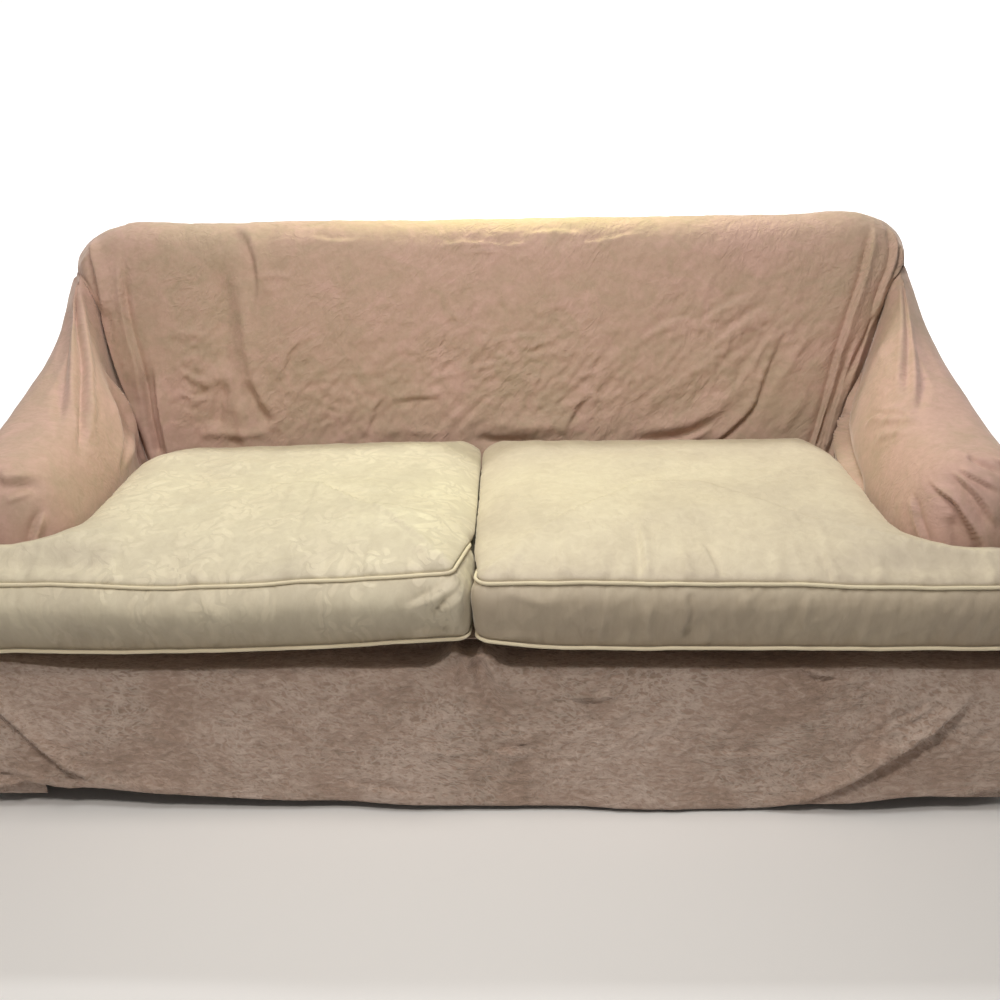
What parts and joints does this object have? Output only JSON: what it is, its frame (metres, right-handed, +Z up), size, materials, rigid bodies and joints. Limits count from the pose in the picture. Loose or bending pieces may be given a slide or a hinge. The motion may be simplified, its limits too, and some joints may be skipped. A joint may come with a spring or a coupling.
{
  "type": "sofa slipcover with seat cushions",
  "caption": "Loose velvet sofa slipcover, draped over back and arms and open below, with box seat cushions whose wings pass in front of the arms.",
  "frame": {"origin": "inner side of the cloth at the middle of the back's top, where the sofa's back carries the cover", "axes": "+Z up, +Y to the rear, +X to the right arm as seen from the front; the cushions' front edge is at y = -0.752 and the floor at z = -0.8595"},
  "size_m": [1.8096, 0.8243, 0.8562],
  "materials": {
    "velvet": "dusty pink crushed velvet with a mottled sheen",
    "damask": "cream cloth with a tone-on-tone leafy figure",
    "damask_welt": "cream cloth over a welt cord"
  },
  "bodies": {
    "root": {"inside_back": "velvet", "outside_back": "velvet", "inside_arm_left": "velvet", "inside_arm_right": "velvet", "outside_arm_left": "velvet", "outside_arm_right": "velvet", "front_apron": "velvet", "corner_flap_left": "velvet", "corner_flap_right": "velvet", "deck": "velvet", "seat_cushion_left": "damask", "seat_cushion_right": "damask", "welt_lower_left": "damask_welt", "welt_lower_right": "damask_welt", "welt_upper_left": "damask_welt", "welt_upper_right": "damask_welt"}
  },
  "joints": []
}
